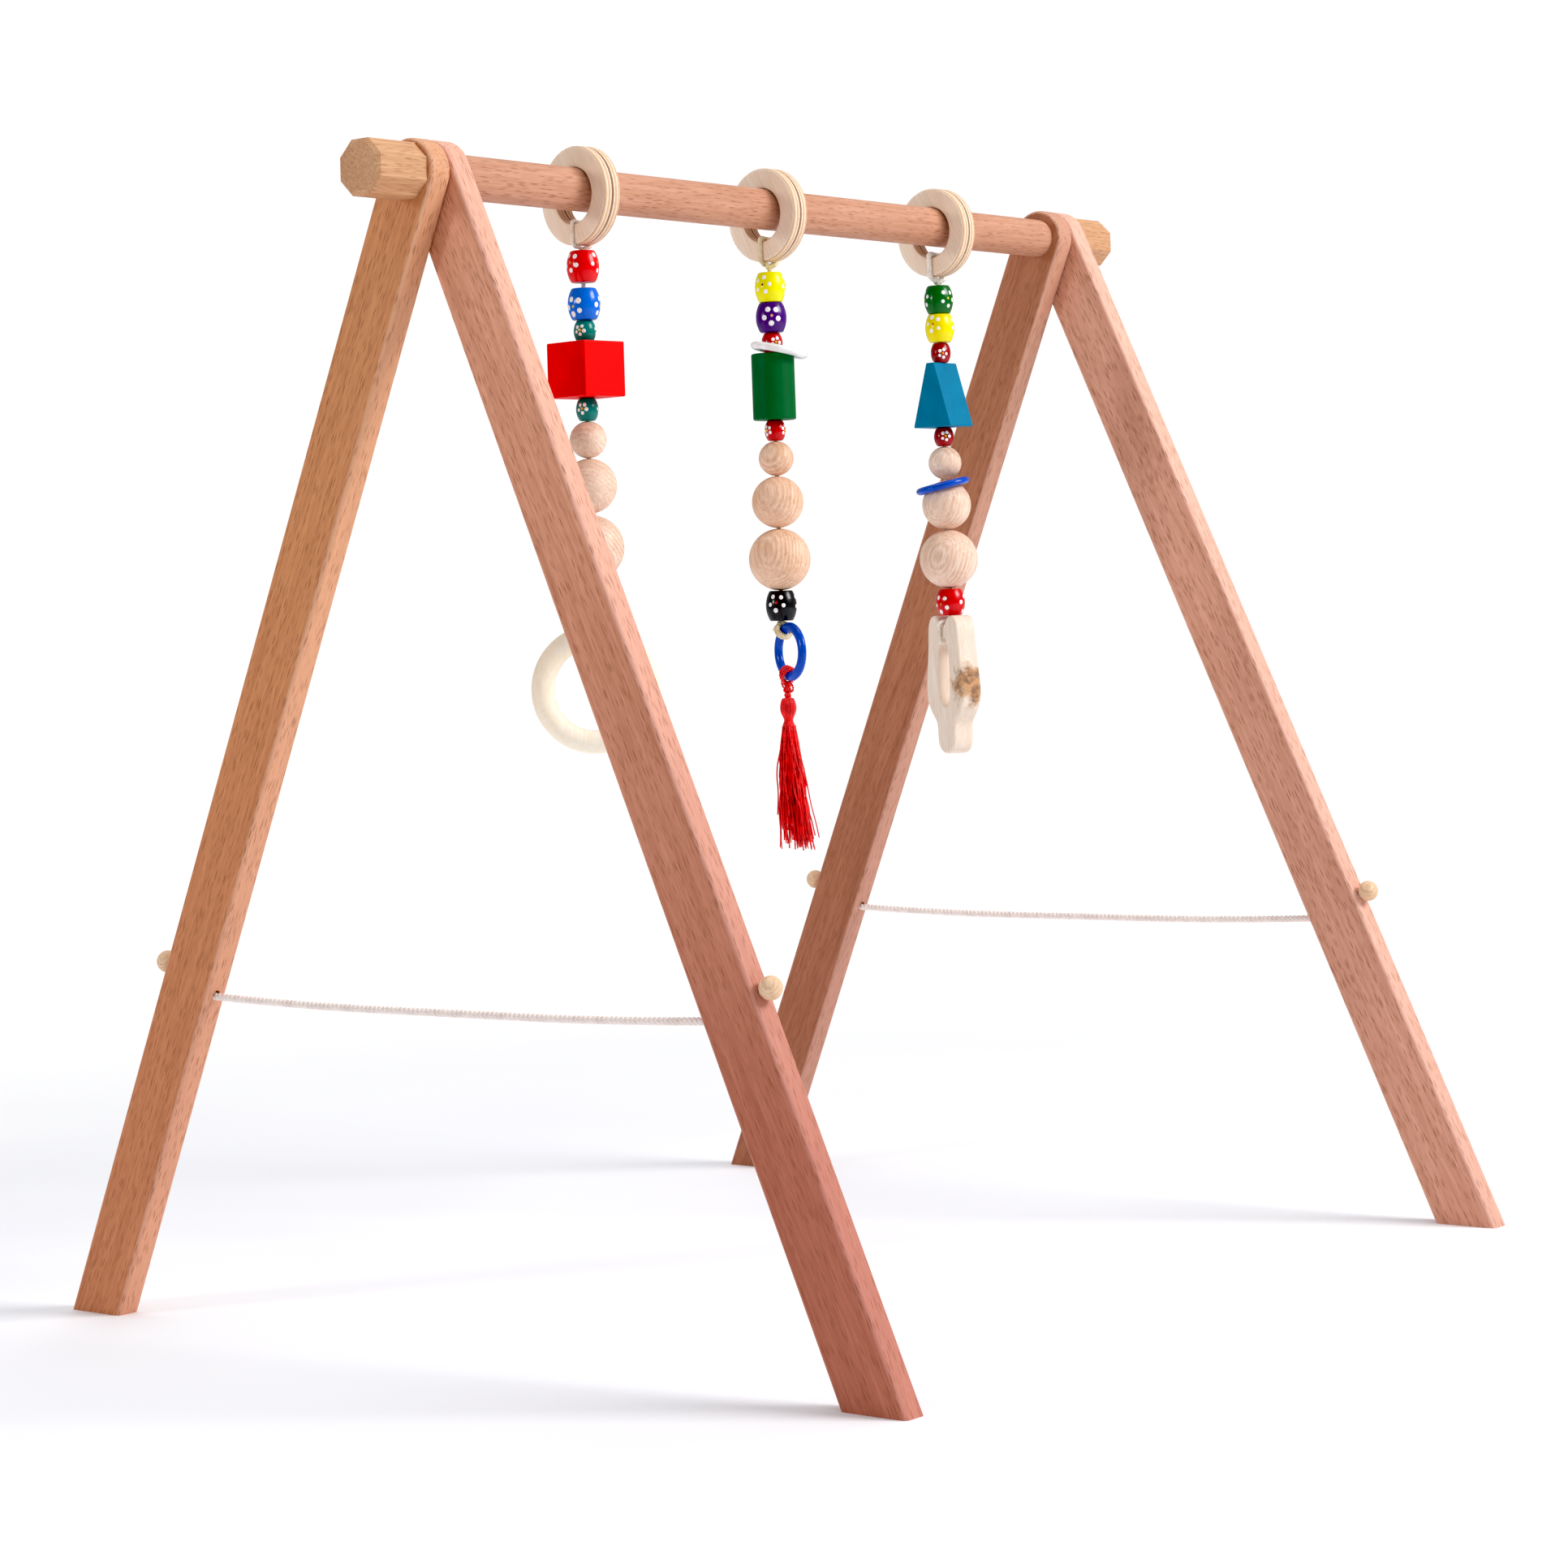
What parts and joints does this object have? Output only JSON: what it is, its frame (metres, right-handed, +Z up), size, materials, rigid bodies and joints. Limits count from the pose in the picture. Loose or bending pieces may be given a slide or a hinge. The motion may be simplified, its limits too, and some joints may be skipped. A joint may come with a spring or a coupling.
{
  "type": "activity play gym",
  "caption": "Free-standing wooden baby gym: a bar on two folding A-frames, with strings of painted beads, balls, rings and a tassel hanging from it.",
  "frame": {"origin": "on the floor, under the middle of the bar", "axes": "+Z up; +X along the bar; +Y towards the left legs of both A-frames"},
  "size_m": [0.6866, 0.5688, 0.6361],
  "materials": {
    "beech_leg": "satin oiled beech",
    "beech_bar": "satin oiled beech dowel",
    "beech_cap": "satin oiled beech",
    "beech_stopper": "satin turned wood",
    "cotton_cord": "twisted cotton cord",
    "plywood": "sanded birch plywood",
    "maple_ball": "turned pale wood",
    "maple_ring": "turned pale wood",
    "raw_wood": "sanded raw wood with a brown patch",
    "red_thread": "soft cotton thread",
    "blue_plastic": "gloss",
    "white_plastic": "gloss",
    "paint_bright_red": "satin paint on wood",
    "paint_turquoise": "satin paint on wood",
    "paint_green": "gloss paint on wood",
    "paint_dark_red": "gloss paint on wood",
    "paint_teal": "gloss paint on wood",
    "paint_yellow": "gloss paint on wood",
    "paint_purple": "gloss paint on wood",
    "paint_black": "gloss paint on wood",
    "paint_blue": "gloss paint on wood",
    "paint_red": "gloss paint on wood"
  },
  "bodies": {
    "crossbar": {"crossbar": "beech_bar", "end_cap_near": "beech_cap", "end_cap_far": "beech_cap", "tie_cord_near": "cotton_cord", "tie_cord_far": "cotton_cord"},
    "leg_near_left": {"leg_near_left": "beech_leg", "stopper_near_left": "beech_stopper"},
    "leg_near_right": {"leg_near_right": "beech_leg", "stopper_near_right": "beech_stopper"},
    "leg_far_left": {"leg_far_left": "beech_leg", "stopper_far_left": "beech_stopper"},
    "leg_far_right": {"leg_far_right": "beech_leg", "stopper_far_right": "beech_stopper"},
    "h1_ring": {"h1_ring": "plywood"},
    "h1_loop": {"h1_loop": "cotton_cord"},
    "h1_strand": {"h1_strand": "cotton_cord"},
    "h1_barrel_red": {"h1_barrel_red": "paint_red"},
    "h1_barrel_blue": {"h1_barrel_blue": "paint_blue"},
    "h1_small_teal_upper": {"h1_small_teal_upper": "paint_teal"},
    "h1_cube_red": {"h1_cube_red": "paint_bright_red"},
    "h1_small_teal_lower": {"h1_small_teal_lower": "paint_teal"},
    "h1_ball_small": {"h1_ball_small": "maple_ball"},
    "h1_ball_middle": {"h1_ball_middle": "maple_ball"},
    "h1_ball_large": {"h1_ball_large": "maple_ball"},
    "h1_barrel_low": {"h1_barrel_low": "paint_green"},
    "h2_ring": {"h2_ring": "plywood"},
    "h2_loop": {"h2_loop": "cotton_cord"},
    "h2_strand": {"h2_strand": "cotton_cord"},
    "h2_barrel_yellow": {"h2_barrel_yellow": "paint_yellow"},
    "h2_barrel_purple": {"h2_barrel_purple": "paint_purple"},
    "h2_small_red_upper": {"h2_small_red_upper": "paint_red"},
    "h2_cylinder_green": {"h2_cylinder_green": "paint_green"},
    "h2_small_red_lower": {"h2_small_red_lower": "paint_red"},
    "h2_ball_small": {"h2_ball_small": "maple_ball"},
    "h2_ball_middle": {"h2_ball_middle": "maple_ball"},
    "h2_ball_large": {"h2_ball_large": "maple_ball"},
    "h2_barrel_black": {"h2_barrel_black": "paint_black"},
    "h3_ring": {"h3_ring": "plywood"},
    "h3_loop": {"h3_loop": "cotton_cord"},
    "h3_strand": {"h3_strand": "cotton_cord"},
    "h3_barrel_green": {"h3_barrel_green": "paint_green"},
    "h3_barrel_yellow": {"h3_barrel_yellow": "paint_yellow"},
    "h3_small_red_upper": {"h3_small_red_upper": "paint_dark_red"},
    "h3_prism_turquoise": {"h3_prism_turquoise": "paint_turquoise"},
    "h3_small_red_lower": {"h3_small_red_lower": "paint_dark_red"},
    "h3_ball_small": {"h3_ball_small": "maple_ball"},
    "h3_ball_middle": {"h3_ball_middle": "maple_ball"},
    "h3_ball_large": {"h3_ball_large": "maple_ball"},
    "h3_barrel_red": {"h3_barrel_red": "paint_red"},
    "h1_loose_ring_blue": {"h1_loose_ring_blue": "blue_plastic"},
    "h2_loose_ring_white": {"h2_loose_ring_white": "white_plastic"},
    "h3_loose_ring_blue": {"h3_loose_ring_blue": "blue_plastic"},
    "h1_teething_ring": {"h1_teething_ring": "maple_ring"},
    "h2_pendant_ring": {"h2_pendant_ring_blue": "blue_plastic"},
    "h2_tassel": {"h2_tassel_cord": "red_thread", "h2_tassel_head": "red_thread", "h2_tassel_skirt": "red_thread"},
    "h3_teether": {"h3_teether": "raw_wood", "h3_teether_loop": "cotton_cord"}
  },
  "joints": [
    {"name": "fold_near_left", "type": "hinge", "parent": "crossbar", "child": "leg_near_left", "pos_m": [-0.292, 0, 0.612], "axis": [1, 0, 0], "range_deg": [-23.4, 0], "deforming": ["tie_cord_near"]},
    {"name": "fold_near_right", "type": "hinge", "parent": "crossbar", "child": "leg_near_right", "pos_m": [-0.292, 0, 0.612], "axis": [1, 0, 0], "range_deg": [0, 23.4], "deforming": ["tie_cord_near"]},
    {"name": "fold_far_left", "type": "hinge", "parent": "crossbar", "child": "leg_far_left", "pos_m": [0.292, 0, 0.612], "axis": [1, 0, 0], "range_deg": [-23.4, 0], "deforming": ["tie_cord_far"]},
    {"name": "fold_far_right", "type": "hinge", "parent": "crossbar", "child": "leg_far_right", "pos_m": [0.292, 0, 0.612], "axis": [1, 0, 0], "range_deg": [0, 23.4], "deforming": ["tie_cord_far"]},
    {"name": "slide_h1", "type": "slide", "parent": "crossbar", "child": "h1_ring", "axis": [1, 0, 0], "range_m": [-0.085, 0.045]},
    {"name": "slide_h2", "type": "slide", "parent": "crossbar", "child": "h2_ring", "axis": [1, 0, 0], "range_m": [-0.045, 0.045]},
    {"name": "slide_h3", "type": "slide", "parent": "crossbar", "child": "h3_ring", "axis": [1, 0, 0], "range_m": [-0.045, 0.085]},
    {"name": "swing_fore_aft_h1", "type": "hinge", "parent": "h1_ring", "child": "h1_loop", "pos_m": [-0.17, 0, 0.60862], "axis": [0.989, -0.1478, 0], "range_deg": [-45, 45]},
    {"name": "swing_sideways_h1", "type": "hinge", "parent": "h1_loop", "child": "h1_strand", "pos_m": [-0.17, 0, 0.5788], "axis": [0.1478, 0.989, 0], "range_deg": [-10, 10]},
    {"name": "swing_fore_aft_h2", "type": "hinge", "parent": "h2_ring", "child": "h2_loop", "pos_m": [-0.004, 0, 0.60862], "axis": [0.9936, -0.1132, 0], "range_deg": [-45, 45]},
    {"name": "swing_sideways_h2", "type": "hinge", "parent": "h2_loop", "child": "h2_strand", "pos_m": [-0.004, 0, 0.5776], "axis": [0.1132, 0.9936, 0], "range_deg": [-14, 14]},
    {"name": "swing_fore_aft_h3", "type": "hinge", "parent": "h3_ring", "child": "h3_loop", "pos_m": [0.165, 0, 0.60862], "axis": [0.9954, -0.0958, 0], "range_deg": [-45, 45]},
    {"name": "swing_sideways_h3", "type": "hinge", "parent": "h3_loop", "child": "h3_strand", "pos_m": [0.165, 0, 0.5776], "axis": [0.0958, 0.9954, 0], "range_deg": [-14, 14]},
    {"name": "swing_teething_ring", "type": "hinge", "parent": "h1_strand", "child": "h1_teething_ring", "pos_m": [-0.17, 0, 0.366], "axis": [-0.6347, 0.7727, 0], "range_deg": [-35, 35]},
    {"name": "swing_pendant_ring", "type": "hinge", "parent": "h2_strand", "child": "h2_pendant_ring", "pos_m": [-0.00483, -0.00199, 0.365], "axis": [0.3393, 0.8151, -0.4695], "range_deg": [-40, 40]},
    {"name": "swing_tassel", "type": "hinge", "parent": "h2_pendant_ring", "child": "h2_tassel", "pos_m": [-0.00596, -0.00472, 0.33912], "axis": [0.3712, 0.8918, 0.2588], "range_deg": [-40, 40]},
    {"name": "swing_teether", "type": "hinge", "parent": "h3_strand", "child": "h3_teether", "pos_m": [0.165, 0, 0.3686], "axis": [0.4163, 0.9092, 0], "range_deg": [-15, 15]},
    {"name": "spin_h1_barrel_red", "type": "hinge", "parent": "h1_strand", "child": "h1_barrel_red", "pos_m": [-0.17, 0, 0.5693], "axis": [0, 0, 1], "continuous": true},
    {"name": "spin_h1_barrel_blue", "type": "hinge", "parent": "h1_strand", "child": "h1_barrel_blue", "pos_m": [-0.17, 0, 0.5485], "axis": [0, 0, 1], "continuous": true},
    {"name": "spin_h1_small_teal_upper", "type": "hinge", "parent": "h1_strand", "child": "h1_small_teal_upper", "pos_m": [-0.17, 0, 0.5335], "axis": [0, 0, 1], "continuous": true},
    {"name": "spin_h1_cube_red", "type": "hinge", "parent": "h1_strand", "child": "h1_cube_red", "pos_m": [-0.17, 0, 0.51205], "axis": [0, 0, 1], "continuous": true},
    {"name": "spin_h1_small_teal_lower", "type": "hinge", "parent": "h1_strand", "child": "h1_small_teal_lower", "pos_m": [-0.17, 0, 0.4903], "axis": [0, 0, 1], "continuous": true},
    {"name": "spin_h1_ball_small", "type": "hinge", "parent": "h1_strand", "child": "h1_ball_small", "pos_m": [-0.17, 0, 0.4736], "axis": [0, 0, 1], "continuous": true},
    {"name": "spin_h1_ball_middle", "type": "hinge", "parent": "h1_strand", "child": "h1_ball_middle", "pos_m": [-0.17, 0, 0.4481], "axis": [0, 0, 1], "continuous": true},
    {"name": "spin_h1_ball_large", "type": "hinge", "parent": "h1_strand", "child": "h1_ball_large", "pos_m": [-0.17, 0, 0.414], "axis": [0, 0, 1], "continuous": true},
    {"name": "spin_h1_barrel_low", "type": "hinge", "parent": "h1_strand", "child": "h1_barrel_low", "pos_m": [-0.17, 0, 0.3858], "axis": [0, 0, 1], "continuous": true},
    {"name": "spin_h2_barrel_yellow", "type": "hinge", "parent": "h2_strand", "child": "h2_barrel_yellow", "pos_m": [-0.004, 0, 0.566], "axis": [0, 0, 1], "continuous": true},
    {"name": "spin_h2_barrel_purple", "type": "hinge", "parent": "h2_strand", "child": "h2_barrel_purple", "pos_m": [-0.004, 0, 0.5482], "axis": [0, 0, 1], "continuous": true},
    {"name": "spin_h2_small_red_upper", "type": "hinge", "parent": "h2_strand", "child": "h2_small_red_upper", "pos_m": [-0.004, 0, 0.5332], "axis": [0, 0, 1], "continuous": true},
    {"name": "spin_h2_cylinder_green", "type": "hinge", "parent": "h2_strand", "child": "h2_cylinder_green", "pos_m": [-0.004, 0, 0.5075], "axis": [0, 0, 1], "continuous": true},
    {"name": "spin_h2_small_red_lower", "type": "hinge", "parent": "h2_strand", "child": "h2_small_red_lower", "pos_m": [-0.004, 0, 0.4818], "axis": [0, 0, 1], "continuous": true},
    {"name": "spin_h2_ball_small", "type": "hinge", "parent": "h2_strand", "child": "h2_ball_small", "pos_m": [-0.004, 0, 0.4654], "axis": [0, 0, 1], "continuous": true},
    {"name": "spin_h2_ball_middle", "type": "hinge", "parent": "h2_strand", "child": "h2_ball_middle", "pos_m": [-0.004, 0, 0.4399], "axis": [0, 0, 1], "continuous": true},
    {"name": "spin_h2_ball_large", "type": "hinge", "parent": "h2_strand", "child": "h2_ball_large", "pos_m": [-0.004, 0, 0.4064], "axis": [0, 0, 1], "continuous": true},
    {"name": "spin_h2_barrel_black", "type": "hinge", "parent": "h2_strand", "child": "h2_barrel_black", "pos_m": [-0.004, 0, 0.3794], "axis": [0, 0, 1], "continuous": true},
    {"name": "spin_h3_barrel_green", "type": "hinge", "parent": "h3_strand", "child": "h3_barrel_green", "pos_m": [0.165, 0, 0.5666], "axis": [0, 0, 1], "continuous": true},
    {"name": "spin_h3_barrel_yellow", "type": "hinge", "parent": "h3_strand", "child": "h3_barrel_yellow", "pos_m": [0.165, 0, 0.5488], "axis": [0, 0, 1], "continuous": true},
    {"name": "spin_h3_small_red_upper", "type": "hinge", "parent": "h3_strand", "child": "h3_small_red_upper", "pos_m": [0.165, 0, 0.5334], "axis": [0, 0, 1], "continuous": true},
    {"name": "spin_h3_prism_turquoise", "type": "hinge", "parent": "h3_strand", "child": "h3_prism_turquoise", "pos_m": [0.165, 0, 0.507], "axis": [0, 0, 1], "continuous": true},
    {"name": "spin_h3_small_red_lower", "type": "hinge", "parent": "h3_strand", "child": "h3_small_red_lower", "pos_m": [0.165, 0, 0.481], "axis": [0, 0, 1], "continuous": true},
    {"name": "spin_h3_ball_small", "type": "hinge", "parent": "h3_strand", "child": "h3_ball_small", "pos_m": [0.165, 0, 0.4648], "axis": [0, 0, 1], "continuous": true},
    {"name": "spin_h3_ball_middle", "type": "hinge", "parent": "h3_strand", "child": "h3_ball_middle", "pos_m": [0.165, 0, 0.4386], "axis": [0, 0, 1], "continuous": true},
    {"name": "spin_h3_ball_large", "type": "hinge", "parent": "h3_strand", "child": "h3_ball_large", "pos_m": [0.165, 0, 0.4051], "axis": [0, 0, 1], "continuous": true},
    {"name": "spin_h3_barrel_red", "type": "hinge", "parent": "h3_strand", "child": "h3_barrel_red", "pos_m": [0.165, 0, 0.37845], "axis": [0, 0, 1], "continuous": true},
    {"name": "spin_h1_loose_ring_blue", "type": "hinge", "parent": "h1_strand", "child": "h1_loose_ring_blue", "pos_m": [-0.17, 0, 0.3728], "axis": [0, 0, 1], "range_deg": [-15, 15]},
    {"name": "spin_h2_loose_ring_white", "type": "hinge", "parent": "h2_strand", "child": "h2_loose_ring_white", "pos_m": [-0.004, 0, 0.5289], "axis": [0, 0, 1], "continuous": true},
    {"name": "spin_h3_loose_ring_blue", "type": "hinge", "parent": "h3_strand", "child": "h3_loose_ring_blue", "pos_m": [0.165, 0, 0.4506], "axis": [0, 0, 1], "continuous": true}
  ]
}
